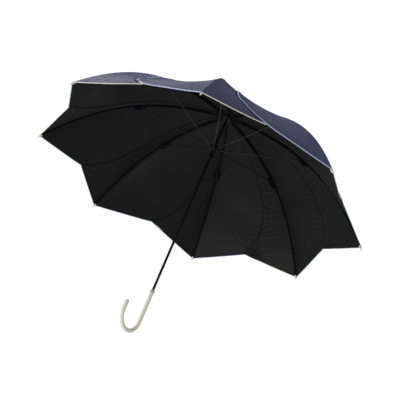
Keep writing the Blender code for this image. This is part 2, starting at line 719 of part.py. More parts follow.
# -------------------------------------------------------------------- build
def build_stick():
    """The parts fixed on the shaft, and the two catches in it."""
    finish(make_shaft(), "black_steel")
    finish(make_notch(), "black_moulding")
    finish(make_wire_ring("crown_wire", 0.0), "ring_wire")
    finish(make_ferrule(), "ferrule_cream")
    finish(make_rosette(), "rosette_cloth")
    finish(make_handle(), "cream_moulding")
    finish(make_collar(), "pewter_collar")
    for name, shoulder in CATCH_SHOULDERS.items():
        catch = finish(make_catch(name, shoulder), "spring_steel")
        foot = (0.5 * (CATCH_X_IN + CATCH_X_OUT), 0.0, shoulder - CATCH_ARM)
        shift_mesh(catch, foot)
        place(catch, foot)


def build_frame():
    """Ribs, rods and stretchers with what they carry; returns the ribs and the rods."""
    ribs = copies(make_inner_rib(), "rib_inner", xz(HINGE), "black_steel")
    rods = copies(make_outer_rib(), "rib_outer", xz(BEND), "black_rod", ribs)
    copies(make_tip_cap(), "tip_cap", xz(BEND), "cap_cream", rods)
    copies(make_joint_cover(), "joint_cover", xz(HINGE), "cover_cloth", ribs)
    stretchers = copies(make_stretcher(), "stretcher", xz(RIVET), "grey_steel", ribs)

    # The runner follows the first stretcher through a pivot on their pin
    pivot = add_object("runner_pivot", None)
    pivot.empty_display_size = 0.01
    place(pivot, xz(RUNNER_PIN), parent=stretchers[0])
    runner = finish(make_runner(), "black_moulding")
    ring = finish(make_wire_ring("runner_wire", RUNNER_PIN[1]), "ring_wire")
    for obj in (runner, ring):
        place(obj, (0.0, 0.0, 0.0), parent=pivot)
    return ribs, rods


def build_cloth(ribs, rods):
    copies(make_petal(), "petal", xz(HINGE), "navy_cloth", ribs)
    strap = finish(make_tie_strap(), "strap_cloth")
    strap_rib = 2           # counted from 0
    shift_mesh(strap, xz(BEND))
    place(strap, xz(BEND), strap_rib, rods[strap_rib])


def main():
    clear_scene()
    make_materials()
    build_stick()
    build_cloth(*build_frame())
    for obj in bpy.data.objects:
        if obj.parent is None:
            obj.location.z -= FERRULE_TOP


main()
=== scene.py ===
# An open folding umbrella with eight ribs. The shaft lies on the Z axis with the crown at the
# top, and the canopy falls from it towards -Z. Rib 1 points along +X and the others follow
# clockwise, seen from above. Each petal is centred on a rib and laps over the next one.
from math import copysign, cos, pi, radians, sin

import bpy
import numpy as np
from mathutils import Matrix, Vector


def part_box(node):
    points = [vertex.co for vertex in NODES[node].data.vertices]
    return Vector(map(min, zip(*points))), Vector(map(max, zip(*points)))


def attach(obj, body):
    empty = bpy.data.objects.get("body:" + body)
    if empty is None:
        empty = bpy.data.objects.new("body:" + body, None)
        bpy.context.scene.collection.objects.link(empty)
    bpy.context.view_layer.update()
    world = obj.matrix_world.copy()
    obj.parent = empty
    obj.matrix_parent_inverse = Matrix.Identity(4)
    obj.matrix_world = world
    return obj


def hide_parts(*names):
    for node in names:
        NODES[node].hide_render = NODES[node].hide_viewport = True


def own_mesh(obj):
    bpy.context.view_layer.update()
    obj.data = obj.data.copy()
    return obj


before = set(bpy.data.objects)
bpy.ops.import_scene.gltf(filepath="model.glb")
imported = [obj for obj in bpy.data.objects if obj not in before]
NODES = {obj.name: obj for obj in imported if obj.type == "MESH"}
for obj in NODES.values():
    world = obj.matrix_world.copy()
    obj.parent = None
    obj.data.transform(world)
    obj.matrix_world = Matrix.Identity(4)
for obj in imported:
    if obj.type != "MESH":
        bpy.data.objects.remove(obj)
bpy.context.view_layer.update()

SCENE = bpy.context.scene

# ------------------------------------------------------------- canopy's form
# All lengths are in metres. "along" is a share of the rib's length from the crown outwards,
# "across" a share of the gore between two ribs, clockwise. Gore 0 starts at rib 1.
RIBS = 8
STEP = 2 * pi / RIBS
wire_low, wire_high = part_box("crown_wire")
WIRE_INSET = 0.0004          # from the wire's outer edge to the start of the cloth line
CROWN_LIFT = 0.0045          # of the cloth line above the hinges
HINGE_Z = 0.5 * (wire_low.z + wire_high.z)
CROWN_RADIUS = 0.5 * (wire_high.x - wire_low.x) - WIRE_INSET
CROWN_Z = HINGE_Z + CROWN_LIFT
CANOPY_RADIUS = 0.4315
CANOPY_HEIGHT = 0.5373 * CANOPY_RADIUS
HEM_Z = CROWN_Z - CANOPY_HEIGHT
CLOTH = 0.0005               # thickness
LAYER = 0.00105              # from one petal's inner face to that of the petal lapped over it

# handles of the rib's cubic curve: length in canopy radii, angle below the horizontal
CROWN_HANDLE = (0.4937, 0.048)
HEM_HANDLE = (0.3908, 0.9274)


def rib_curve(count=1601):
    """The cloth line over a rib, as points (radius, z)."""
    def handle(length, angle):
        return length * CANOPY_RADIUS * np.array([cos(angle), -sin(angle)])

    start = np.array([CROWN_RADIUS, CROWN_Z])
    end = np.array([CANOPY_RADIUS, HEM_Z])
    leave = start + handle(*CROWN_HANDLE)
    arrive = end - handle(*HEM_HANDLE)
    t = np.linspace(0, 1, count)[:, None]
    return ((1 - t) ** 3 * start + 3 * (1 - t) ** 2 * t * leave
            + 3 * (1 - t) * t * t * arrive + t ** 3 * end)


def distance_run(points):
    """Distance from the first point to each point, along the line."""
    steps = np.linalg.norm(np.diff(points, axis=0), axis=1)
    return np.concatenate([[0.0], np.cumsum(steps)])


CURVE = rib_curve()
CURVE_RUN = distance_run(CURVE)
RIB_LENGTH = float(CURVE_RUN[-1])

CLOTH_START_RADIUS = 0.0135  # of the hole at the crown
BEND_PAST_JOINT = 0.027      # from the rib joint to where the cloth is divided
JOINT = 0.4325
BEND = JOINT + BEND_PAST_JOINT / RIB_LENGTH
START = float(np.interp(CLOTH_START_RADIUS, CURVE[:, 0], CURVE_RUN)) / RIB_LENGTH

# the notch in the hem, where two petals part
NOTCH_ALONG, NOTCH_ACROSS = 0.920, 0.511

# the curved seam of two neighbouring petals: (along, across)
SEAM_CUT = np.array([
    (0.0, 0.735), (0.20, 0.750), (0.40, 0.772), (0.486, 0.780), (0.554, 0.772),
    (0.602, 0.760), (0.668, 0.744), (0.722, 0.722), (0.776, 0.690), (0.832, 0.642),
    (0.873, 0.592), (0.905, 0.537), (NOTCH_ALONG, NOTCH_ACROSS)])


def ease(x):
    """A smooth step from 0 at x = 0 to 1 at x = 1."""
    x = np.clip(x, 0, 1)
    return x * x * (3 - 2 * x)


def rise(value, start, span):
    """0 up to start, then smoothly to 1 over the span."""
    return ease((value - start) / span)


def fade(value, end, span):
    """1, then smoothly to 0 over the span that finishes at end."""
    return ease((end - value) / span)


def bell(value, centre, width):
    return np.exp(-((value - centre) / width) ** 2)


def ripple(run, pitch, phase):
    return np.sin(2 * pi * run / pitch + phase)


def rib_line(along):
    """Radius and z of the cloth line, carried on straight past the hem."""
    run = np.asarray(along, float) * RIB_LENGTH
    radius = np.interp(run, CURVE_RUN, CURVE[:, 0])
    z = np.interp(run, CURVE_RUN, CURVE[:, 1])
    end = CURVE[-1] - CURVE[-2]
    end = end / np.linalg.norm(end)
    over = np.maximum(run - RIB_LENGTH, 0.0)
    return radius + end[0] * over, z + end[1] * over


def slope(along, reach=0.004):
    """Unit tangent (radial, z) of the cloth line."""
    along = np.asarray(along, float)
    radius_before, z_before = rib_line(np.maximum(along - reach, 0.0))
    radius_after, z_after = rib_line(along + reach)
    radial, rising = radius_after - radius_before, z_after - z_before
    length = np.hypot(radial, rising)
    return radial / length, rising / length


def width_at(along):
    """Straight distance from rib to rib."""
    return 2 * rib_line(along)[0] * sin(0.5 * STEP)


def rib_distance(along, across):
    """Distance to the nearer rib."""
    return np.minimum(across, 1 - across) * width_at(along)


def seam_across(along):
    """The seam's place, averaged over a short window so that it has no corners."""
    along = np.minimum(np.asarray(along, float), NOTCH_ALONG)
    window = np.minimum(0.04, NOTCH_ALONG - along)
    offsets = np.linspace(-1, 1, 9)
    weights = 1 - 0.85 * np.abs(offsets)
    total = np.zeros_like(along)
    for offset, weight in zip(offsets, weights):
        total = total + weight * np.interp(along + offset * window, *SEAM_CUT.T)
    return total / weights.sum()


def lap(along):
    """How far the upper petal reaches past the seam, as a share of the gore."""
    return 0.022 * fade(along, end=NOTCH_ALONG, span=0.05)


def flap_across(along):
    """Free edge of the upper petal."""
    return seam_across(along) + lap(along)


def under_across(along):
    """Edge of the covered petal."""
    least_share, least_width = 0.010, 0.0028
    allowance = np.maximum(least_share, least_width / width_at(along))
    return seam_across(along) - allowance * fade(along, end=NOTCH_ALONG, span=0.010)


def hem_along(reach):
    """The hem, for a reach of 0 at the rib to 1 at the notch."""
    return 1.0 - (1.0 - NOTCH_ALONG) * reach


def flap_height(along, reach):
    """Height of the upper petal at a reach of 0 at its rib to 1 at its edge. The edge stands
    a little off the next petal, more towards the hem."""
    edge = 0.0004 + 0.0006 * rise(along, start=0.66, span=0.14)
    return LAYER * rise(reach, start=0, span=0.55) + rise(reach, start=0.84, span=0.16) * edge


def sag_at(along, across):
    """How far the taut cloth sinks below the straight line from rib to rib."""
    depth = 0.063 * width_at(along) * rise(along, start=0.05, span=0.30)
    depth = depth * (1 - 0.80 * rise(along, start=0.64, span=0.28))
    return depth * np.maximum(4 * across * (1 - across), 0.0) ** 0.9


# -------------------------------------------------------------- cloth relief
# one value for each gore
GATHER = (0.35, 0.35, 0.30, 1.3, 0.95, 0.7, 0.45, 0.45)      # how strong the seam's gathers are
EDGE_HEIGHT = (0.35, 0.35, 0.35, 0.45, 0.5, 0.5, 1.0, 0.75)  # how high its sewn edge stands
DITCH = (1.2, 1.2, 1.2, 1.2, 1.2, 1.2, 1.2, 0.2)             # depth of the ditch to its ridge
SWELL = (0.4, 0.4, 1.0, 0.4, 0.4, 0.4, 0.4, 0.4)             # how much it swells by the ribs


def seam_gathers(seam, turn, along, past_seam):
    """Three waves of gathers, each slanted its own way, in a band about the seam."""
    run = along * RIB_LENGTH
    band = np.exp(-(np.abs(past_seam) / 0.024) ** 1.4)
    band = band * rise(along, start=0.36, span=0.16) * (1 - rise(along, start=0.885, span=0.03))
    waves = (ripple(run + 0.35 * np.abs(past_seam), pitch=0.0142, phase=turn)
             + 0.5 * ripple(run - 0.5 * past_seam, pitch=0.0103, phase=2.3 * turn)
             + 0.7 * ripple(run + 0.2 * past_seam, pitch=0.0225, phase=0.7 * turn + 1.0))
    pull = 0.7 + 0.3 * ripple(run, pitch=0.071, phase=turn)
    return 0.0010 * GATHER[seam] * band * waves * pull


def seam_ridge(seam, along, past_edge):
    """A low ridge before the sewn edge and a ditch after it."""
    reach = rise(along, start=0.34, span=0.18) * (1 - rise(along, start=0.897, span=0.02))
    high = (0.0007 + 0.0006 * rise(along, start=0.55, span=0.15)) * EDGE_HEIGHT[seam]
    ridge = (1 - rise(along, start=0.855, span=0.03)) * bell(past_edge, -0.0068, width=0.0040)
    ditch = DITCH[seam] * bell(past_edge, 0.0026, width=0.0034)
    return reach * high * (ridge - ditch)


def rib_swell(seam, along, past_rib):
    """The cloth swells a little just beside each rib."""
    reach = rise(along, start=0.46, span=0.12) * (1 - rise(along, start=0.82, span=0.12))
    return 0.0011 * (reach * SWELL[seam]) * bell(past_rib, 0.0105, width=0.0042)


def notch_folds(seam, turn, along, across):
    """Pulls that fan out from the notch, stronger on its clockwise side."""
    sideways = (across - NOTCH_ACROSS) * width_at(along)
    inwards = (NOTCH_ALONG - along) * RIB_LENGTH
    far = np.hypot(sideways, inwards) + 1e-6
    angle = np.arctan2(inwards, sideways)
    fan = bell(far, 0.034, width=0.026) * rise(far, start=0.006, span=0.014)
    clockwise = fade(angle, end=1.35, span=0.5) * rise(angle, start=-0.5, span=0.3)
    folds = np.sin(15.0 * angle + 0.8 + 0.9 * turn) + 0.35 * np.sin(19.0 * angle + turn)
    height = 0.00115 * (0.25 + 0.75 * GATHER[seam])
    return height * fan * folds * (0.25 + 0.75 * clockwise)


def unevenness(turn, along, across):
    """Slow waves over the whole sheet."""
    inside = np.clip(4 * across * (1 - across), 0, 1)
    return (0.0007 * inside * ripple(along * RIB_LENGTH, pitch=0.13, phase=turn)
            * ripple(across, pitch=1.0, phase=0.6 * turn))


def relief(gore, along, across):
    """Height of the folds in the cloth. Gore -1 is the last gore, but with its own phases."""
    seam, turn = gore % RIBS, 1.7 * gore
    width = width_at(along)
    past_seam = (across - seam_across(along)) * width
    height = (seam_gathers(seam, turn, along, past_seam)
              + seam_ridge(seam, along, past_seam - lap(along) * width)
              + rib_swell(seam, along, across * width)
              + notch_folds(seam, turn, along, across)
              + unevenness(turn, along, across))
    return height * rise(rib_distance(along, across), start=0, span=0.012)


def gore_points(gore, along, across, lift=0.0):
    """Points of the cloth, lifted above its inner face, and its outward unit vectors."""
    radius, z = rib_line(along)
    start, end = -STEP * gore, -STEP * (gore + 1)
    middle = 0.5 * (start + end)
    points = np.stack([radius * (cos(start) + (cos(end) - cos(start)) * across),
                       radius * (sin(start) + (sin(end) - sin(start)) * across), z], -1)
    radial, rising = slope(along)
    gore_radial = radial * cos(0.5 * STEP)
    length = np.hypot(gore_radial, rising)
    gore_radial, gore_rising = gore_radial / length, rising / length
    on_gore = np.stack([-gore_rising * cos(middle), -gore_rising * sin(middle), gore_radial], -1)
    rib = np.where(across < 0.5, start, end)
    on_rib = np.stack([-rising * np.cos(rib), -rising * np.sin(rib), radial], -1)
    near_rib = (1 - rise(rib_distance(along, across), start=0, span=0.006))[..., None]
    outward = on_gore * (1 - near_rib) + on_rib * near_rib
    outward /= np.linalg.norm(outward, axis=-1, keepdims=True)
    height = lift - sag_at(along, across) + relief(gore, along, across)
    return points + outward * height[..., None], outward


# ---------------------------------------------------------------- mesh tools
def new_object(name, verts, faces, mats, face_mats=None, smooth=True, normals=None, uvs=None,
               attrs=None, sharp=None):
    """A mesh object; normals, uvs and attrs are given for each vertex."""
    mesh = bpy.data.meshes.new(name)
    mesh.from_pydata([tuple(v) for v in np.asarray(verts, float)], [], faces)
    for mat in mats:
        mesh.materials.append(mat)
    if face_mats is not None:
        mesh.polygons.foreach_set("material_index", np.asarray(face_mats, np.int32))
    mesh.polygons.foreach_set("use_smooth", np.full(len(mesh.polygons), smooth))
    loops = np.empty(len(mesh.loops), np.int32)
    mesh.loops.foreach_get("vertex_index", loops)
    if uvs is not None:
        layer = mesh.uv_layers.new(name="cloth")
        layer.data.foreach_set("uv", np.asarray(uvs, np.float32)[loops].ravel())
    for key, values in (attrs or {}).items():
        layer = mesh.attributes.new(key, "FLOAT", "POINT")
        layer.data.foreach_set("value", np.asarray(values, np.float32))
    mesh.update()
    if sharp is not None:
        mesh.set_sharp_from_angle(angle=sharp)
    if normals is not None:
        mesh.normals_split_custom_set(np.asarray(normals, float)[loops].tolist())
    obj = bpy.data.objects.new(name, mesh)
    SCENE.collection.objects.link(obj)
    return obj


def flipped(faces):
    return [tuple(reversed(face)) for face in faces]


def tube_faces(rings, steps):
    """Sides of a tube of closed rings."""
    faces = []
    for i in range(rings - 1):
        for j in range(steps):
            k = (j + 1) % steps
            faces.append((i * steps + j, i * steps + k,
                          (i + 1) * steps + k, (i + 1) * steps + j))
    return faces


def capped_tube_faces(rings, steps):
    """Sides of a tube and its two ends."""
    ends = [tuple(reversed(range(steps))), tuple((rings - 1) * steps + j for j in range(steps))]
    return tube_faces(rings, steps) + ends


def double_sheet_faces(rows, cols):
    """Two grids of vertices, one after the other, joined around their rim."""
    count = rows * cols
    faces = []
    for i in range(rows - 1):
        for j in range(cols - 1):
            quad = (i * cols + j, i * cols + j + 1, (i + 1) * cols + j + 1, (i + 1) * cols + j)
            faces.append(quad)
            faces.append(tuple(count + index for index in reversed(quad)))
    rim = list(range(cols)) + [i * cols + cols - 1 for i in range(1, rows)]
    rim += [(rows - 1) * cols + j for j in range(cols - 2, -1, -1)]
    rim += [i * cols for i in range(rows - 2, 0, -1)]
    for here, following in zip(rim, rim[1:] + rim[:1]):
        faces.append((here, count + here, count + following, following))
    return faces


def band_frame(centres, ups):
    """Unit vectors sideways and up at each point of a line, both square to it."""
    tangents = np.gradient(centres, axis=0)
    tangents /= np.linalg.norm(tangents, axis=1, keepdims=True)
    ups = ups - (ups * tangents).sum(1, keepdims=True) * tangents
    ups /= np.linalg.norm(ups, axis=1, keepdims=True)
    return np.cross(tangents, ups), ups


def sweep(name, centres, ups, half_width, half_height, mat, steps, power=1.0):
    """A rounded band along a line; a power below 1 makes its section squarer."""
    sideways, ups = band_frame(centres, ups)
    widths = np.broadcast_to(np.asarray(half_width, float), len(centres))
    run = distance_run(centres)
    verts, uvs = [], []
    for i in range(len(centres)):
        for j in range(steps):
            angle = 2 * pi * j / steps
            x = copysign(abs(cos(angle)) ** power, cos(angle))
            y = copysign(abs(sin(angle)) ** power, sin(angle))
            verts.append(centres[i] + sideways[i] * widths[i] * x + ups[i] * half_height * y)
            uvs.append((run[i], angle / (2 * pi)))
    faces = flipped(capped_tube_faces(len(centres), steps))
    return new_object(name, verts, faces, [mat], uvs=uvs)


# section of the bias tape: (outwards from the cloth's edge, up from its inner face), given in
# millimetres
BINDING = np.array([
    (-3.2, 0.52), (-2.9, 0.84), (-1.6, 1.08), (-0.2, 1.14), (0.65, 0.98), (1.1, 0.52),
    (1.05, 0.02), (0.7, -0.16), (0.15, -0.18), (-0.3, -0.12), (-0.4, 0.14), (-1.6, 0.30)]) * 0.001
BINDING_LEG_START = -0.0005  # points further in than this belong to the wide leg


def binding(name, centres, ups, away, at, mat, scale=1.0, leg=1.0):
    """A bias tape folded over the cloth's edge: a wide leg outside, a narrow one inside.
    Its fold faces the vector away, judged at one point of the line."""
    sideways, ups = band_frame(centres, ups)
    if np.dot(sideways[at], away) < 0:
        sideways = -sideways
    scales = np.broadcast_to(np.asarray(scale, float), len(centres))
    section = BINDING.copy()
    section[section[:, 0] < BINDING_LEG_START, 0] *= leg
    run = distance_run(centres)
    around = distance_run(section)
    around /= around[-1] * 1.1       # leaves a tenth for the side that closes the section
    verts, uvs = [], []
    for i in range(len(centres)):
        for j, (x, y) in enumerate(section):
            verts.append(centres[i] + sideways[i] * x * scales[i] + ups[i] * y)
            uvs.append((run[i], around[j]))
    faces = capped_tube_faces(len(centres), len(section))
    corners = np.array([verts[i] for i in faces[0]])
    core = centres[0] + ups[0] * 0.0004 - sideways[0] * 0.0008 * scales[0]
    normal = np.cross(corners[1] - corners[0], corners[2] - corners[0])
    if np.dot(normal, corners.mean(0) - core) < 0:
        faces = flipped(faces)
    return new_object(name, verts, faces, [mat], uvs=uvs, sharp=radians(75))


# ----------------------------------------------------------------- materials
class Shader:
    """A new material, with short ways to add its nodes."""

    def __init__(self, name):
        self.mat = bpy.data.materials.new(name)
        self.mat.use_nodes = True
        self.tree = self.mat.node_tree

    def put(self, node, key, value):
        """Links or sets an input, found by its name or number."""
        if isinstance(value, bpy.types.NodeSocket):
            self.tree.links.new(value, node.inputs[key])
        else:
            node.inputs[key].default_value = value

    def add(self, kind, settings=None, **inputs):
        node = self.tree.nodes.new(kind)
        for key, value in (settings or {}).items():
            setattr(node, key, value)
        for key, value in inputs.items():
            self.put(node, key.replace("_", " "), value)
        return node

    def put_all(self, node, values):
        for index, value in values.items():
            self.put(node, index, value)

    def calc(self, operation, first, second=0.0):
        node = self.add("ShaderNodeMath", {"operation": operation})
        self.put_all(node, {0: first, 1: second, 2: 0.0})
        return node.outputs[0]

    def scaled(self, value, by):
        return self.calc("MULTIPLY", value, by)

    def mapped(self, vector, turn=0.0, scale=(1.0, 1.0, 1.0)):
        return self.add("ShaderNodeMapping", Vector=vector, Rotation=(0, 0, turn),
                        Scale=scale).outputs[0]

    def noise(self, vector, scale, detail, rough):
        return self.add("ShaderNodeTexNoise", Vector=vector, Scale=scale, Detail=detail,
                        Roughness=rough).outputs[0]

    def wave(self, vector, scale, distortion, direction="X"):
        return self.add("ShaderNodeTexWave", {"bands_direction": direction}, Vector=vector,
                        Scale=scale, Distortion=distortion, Detail=1.0).outputs[1]

    def blend(self, factor, *stops):
        """A colour ramp with two stops (position, colour)."""
        node = self.add("ShaderNodeValToRGB", Fac=factor)
        for element, (position, colour) in zip(node.color_ramp.elements, stops):
            element.position = position
            element.color = colour
        return node.outputs[0]

    def remap(self, value, span, to):
        node = self.add("ShaderNodeMapRange", {"clamp": True})
        self.put_all(node, {0: value, 1: span[0], 2: span[1], 3: to[0], 4: to[1]})
        return node.outputs[0]

    def mix(self, factor, first, second):
        node = self.add("ShaderNodeMix", {"data_type": "RGBA"})
        self.put_all(node, {0: factor, 6: first, 7: second})
        return node.outputs[2]

    def bump(self, height, distance, strength, normal=None):
        node = self.add("ShaderNodeBump", Height=height, Distance=distance, Strength=strength)
        if normal is not None:
            self.put(node, "Normal", normal)
        return node.outputs[0]

    def coords(self, which):
        return self.add("ShaderNodeTexCoord").outputs[which]

    def attr(self, name):
        return self.add("ShaderNodeAttribute", {"attribute_name": name}).outputs["Fac"]

    def finish(self, **inputs):
        """Sets the surface's inputs and gives the material."""
        for key, value in inputs.items():
            self.put(self.tree.nodes["Principled BSDF"], key.replace("_", " "), value)
        return self.mat


def srgb(*channels):
    """A linear colour from 0-255 sRGB values."""
    def linear(value):
        value /= 255.0
        return value / 12.92 if value <= 0.04045 else ((value + 0.055) / 1.055) ** 2.4
    return (*(linear(value) for value in channels), 1.0)


def tinted(colour, factor):
    """A colour made darker or lighter, kept opaque."""
    return tuple(min(1.0, factor * value) for value in colour[:3]) + (1.0,)


def cloth_relief(shader, amount):
    """Height of the fine wrinkles: gathers by the seam, faint pulls toward the hem and a broad
    unevenness. Also gives the coordinates and the distances that place them."""
    coords = shader.coords("UV")
    seam, hem, run = shader.attr("d_seam"), shader.attr("d_hem"), shader.attr("d_along")
    far = shader.calc("ABSOLUTE", seam)
    near_seam = shader.calc("POWER", shader.remap(far, span=(0.0, 0.034), to=(1.0, 0.0)), 1.6)
    stretched = shader.mapped(coords, scale=(16.0, 120.0, 1.0))
    gathers = shader.noise(stretched, scale=1.0, detail=2.0, rough=0.5)
    pleats = shader.calc("MULTIPLY", gathers, near_seam)
    turned = shader.mapped(coords, turn=0.9, scale=(9.0, 46.0, 1.0))
    pulls = shader.calc("MULTIPLY", shader.noise(turned, scale=1.0, detail=2.0, rough=0.45),
                        shader.remap(hem, span=(0.0, 0.16), to=(1.0, 0.12)))
    broad = shader.noise(coords, scale=13.0, detail=2.0, rough=0.5)
    height = shader.calc("ADD", shader.scaled(pleats, by=1.1 * amount),
                         shader.calc("ADD", shader.scaled(pulls, by=0.55 * amount),
                                     shader.scaled(broad, by=0.6 * amount)))
    return coords, height, far, hem, run


STITCH_PITCH = 0.0026
STITCH_HALF_WIDTH = 0.00045
HEM_STITCH = 0.0065          # from the hem to its line of stitches


def dashes(shader, run, solid):
    """A mask that is 1 on each stitch, out to a solid share of the pitch from its middle."""
    beat = shader.calc("FRACT", shader.calc("DIVIDE", run, STITCH_PITCH))
    from_middle = shader.calc("ABSOLUTE", shader.calc("SUBTRACT", beat, 0.5))
    return shader.remap(from_middle, span=(solid, 0.36), to=(1.0, 0.0))


def stitch_line(shader, distance, run, at):
    """A mask of stitches at one distance from an edge."""
    off = shader.calc("ABSOLUTE", shader.calc("SUBTRACT", distance, at))
    line = shader.remap(off, span=(STITCH_HALF_WIDTH * 0.5, STITCH_HALF_WIDTH), to=(1.0, 0.0))
    return shader.calc("MULTIPLY", line, dashes(shader, run, solid=0.30))


def stitch_marks(shader, seam, hem, run, seam_stitch):
    """The stitches beside the seam and those along the hem."""
    return shader.calc("MAXIMUM", stitch_line(shader, seam, run, at=seam_stitch),
                       stitch_line(shader, hem, run, at=HEM_STITCH))


def outer_cloth():
    shader = Shader("navy_twill")
    coords, height, seam, hem, run = cloth_relief(shader, amount=0.8)
    warp = shader.wave(shader.mapped(coords, turn=0.78), scale=420.0, distortion=0.4)
    weft = shader.wave(shader.mapped(coords, turn=-0.78), scale=640.0, distortion=0.3)
    weave = shader.calc("ADD", shader.scaled(warp, by=0.7), shader.scaled(weft, by=0.3))
    tone = shader.noise(coords, scale=7.0, detail=4.0, rough=0.6)
    speck = shader.noise(coords, scale=900.0, detail=2.0, rough=0.7)
    base = shader.blend(tone, (0.30, srgb(61, 65, 94)), (0.70, srgb(68, 72, 103)))
    base = shader.mix(shader.scaled(weave, by=0.20), base, srgb(86, 91, 120))
    specks = shader.remap(speck, span=(0.45, 0.75), to=(0.0, 0.25))
    base = shader.mix(specks, base, srgb(42, 45, 66))
    marks = stitch_marks(shader, seam, hem, run, seam_stitch=0.0016)
    base = shader.mix(shader.scaled(marks, by=0.55), base, srgb(38, 41, 60))
    hem_shade = shader.remap(hem, span=(0.004, 0.016), to=(0.16, 0.0))
    base = shader.mix(hem_shade, base, srgb(52, 56, 78))
    bump = shader.bump(height, distance=0.0022, strength=0.55)
    bump = shader.bump(weave, distance=0.00016, strength=0.7, normal=bump)
    bump = shader.bump(shader.scaled(marks, by=-1.0), distance=0.0004, strength=0.8, normal=bump)
    rough = shader.remap(tone, span=(0.3, 0.7), to=(0.62, 0.74))
    return shader.finish(Base_Color=base, Roughness=rough, Normal=bump, Sheen_Weight=0.16,
                         Sheen_Roughness=0.45, Sheen_Tint=srgb(120, 132, 200),
                         Specular_IOR_Level=0.14)


def inner_cloth():
    shader = Shader("black_coated_cloth")
    coords, height, seam, hem, run = cloth_relief(shader, amount=1.0)
    grain = shader.noise(coords, scale=620.0, detail=2.0, rough=0.6)
    tone = shader.noise(coords, scale=6.0, detail=3.0, rough=0.55)
    base = shader.blend(tone, (0.3, srgb(15, 15, 17)), (0.7, srgb(19, 19, 21)))
    specks = shader.remap(grain, span=(0.4, 0.7), to=(0.0, 0.25))
    base = shader.mix(specks, base, srgb(25, 25, 28))
    marks = stitch_marks(shader, seam, hem, run, seam_stitch=0.0030)
    base = shader.mix(shader.scaled(marks, by=0.6), base, srgb(12, 12, 14))
    bump = shader.bump(height, distance=0.0030, strength=0.75)
    bump = shader.bump(grain, distance=0.00010, strength=0.6, normal=bump)
    bump = shader.bump(shader.scaled(marks, by=-1.0), distance=0.0004, strength=0.8, normal=bump)
    rough = shader.remap(tone, span=(0.3, 0.7), to=(0.42, 0.54))
    return shader.finish(Base_Color=base, Roughness=rough, Normal=bump, Specular_IOR_Level=0.14,
                         Sheen_Weight=0.03, Sheen_Roughness=0.4)


def tape(name, light, dark):
    """Ribbed tape with two lines of stitches around its section."""
    shader = Shader(name)
    coords = shader.coords("UV")
    ribs = shader.wave(coords, scale=330.0, distortion=0.3)
    tone = shader.noise(shader.coords("Object"), scale=60.0, detail=3.0, rough=0.6)
    base = shader.blend(tone, (0.3, dark), (0.7, light))
    run, around = shader.add("ShaderNodeSeparateXYZ", Vector=coords).outputs[:2]
    half = shader.calc("FRACT", shader.scaled(around, by=2.0))
    line_place = 0.72
    off = shader.calc("ABSOLUTE", shader.calc("SUBTRACT", half, line_place))
    line = shader.remap(off, span=(0.03, 0.06), to=(1.0, 0.0))
    marks = shader.calc("MULTIPLY", line, dashes(shader, run, solid=0.28))
    base = shader.mix(shader.scaled(marks, by=0.35), base, tinted(dark, factor=0.55))
    bump = shader.bump(ribs, distance=0.00012, strength=0.6)
    bump = shader.bump(shader.scaled(marks, by=-1.0), distance=0.0003, strength=0.8, normal=bump)
    return shader.finish(Base_Color=base, Roughness=0.52, Normal=bump, Sheen_Weight=0.3,
                         Sheen_Roughness=0.4)


def worn_edges(shader, coords, base, wear, edge_span, patch_scale, patch_span, patch_to):
    """Mixes in the wear colour on convex edges, in patches."""
    point = shader.add("ShaderNodeNewGeometry").outputs["Pointiness"]
    edges = shader.remap(point, span=edge_span, to=(0.0, 1.0))
    patches = shader.noise(coords, scale=patch_scale, detail=3.0, rough=0.7)
    patches = shader.remap(patches, span=patch_span, to=patch_to)
    return shader.mix(shader.calc("MULTIPLY", edges, patches), base, wear)


def moulded(name, dark, light, rough, coat=0.0, grain=2400.0, depth=0.000012, wear=None,
            specular=0.5, vary=0.065):
    """Moulded or painted plastic: mottled tone and fine grain."""
    shader = Shader(name)
    coords = shader.coords("Object")
    tone = shader.noise(coords, scale=28.0, detail=4.0, rough=0.6)
    fine = shader.noise(coords, scale=grain, detail=3.0, rough=0.65)
    base = shader.blend(tone, (0.32, dark), (0.68, light))
    if wear is not None:
        base = worn_edges(shader, coords, base, wear, edge_span=(0.52, 0.60), patch_scale=160.0,
                          patch_span=(0.42, 0.6), patch_to=(0.2, 0.9))
    roughness = shader.remap(fine, span=(0.3, 0.7), to=(rough - vary, rough + vary))
    bump = shader.bump(fine, distance=depth, strength=0.3)
    return shader.finish(Base_Color=base, Roughness=roughness, Normal=bump, Coat_Weight=coat,
                         Coat_Roughness=0.18, Specular_IOR_Level=specular)


def metal(name, dark, light, rough, metallic=1.0, wear=None, specular=0.5):
    """Metal, bare or painted, brushed along Z."""
    shader = Shader(name)
    coords = shader.coords("Object")
    brush = 900.0
    brushed = shader.mapped(coords, scale=(brush, brush, brush * 0.06))
    lines = shader.noise(brushed, scale=1.0, detail=2.0, rough=0.5)
    tone = shader.noise(coords, scale=40.0, detail=4.0, rough=0.6)
    base = shader.blend(tone, (0.3, dark), (0.7, light))
    if wear is not None:
        base = worn_edges(shader, coords, base, wear, edge_span=(0.53, 0.62), patch_scale=220.0,
                          patch_span=(0.45, 0.6), patch_to=(0.1, 0.85))
    roughness = shader.remap(lines, span=(0.3, 0.7), to=(rough - 0.07, rough + 0.08))
    bump = shader.bump(lines, distance=0.000006, strength=0.3)
    return shader.finish(Base_Color=base, Metallic=metallic, Roughness=roughness, Normal=bump,
                         Specular_IOR_Level=specular)


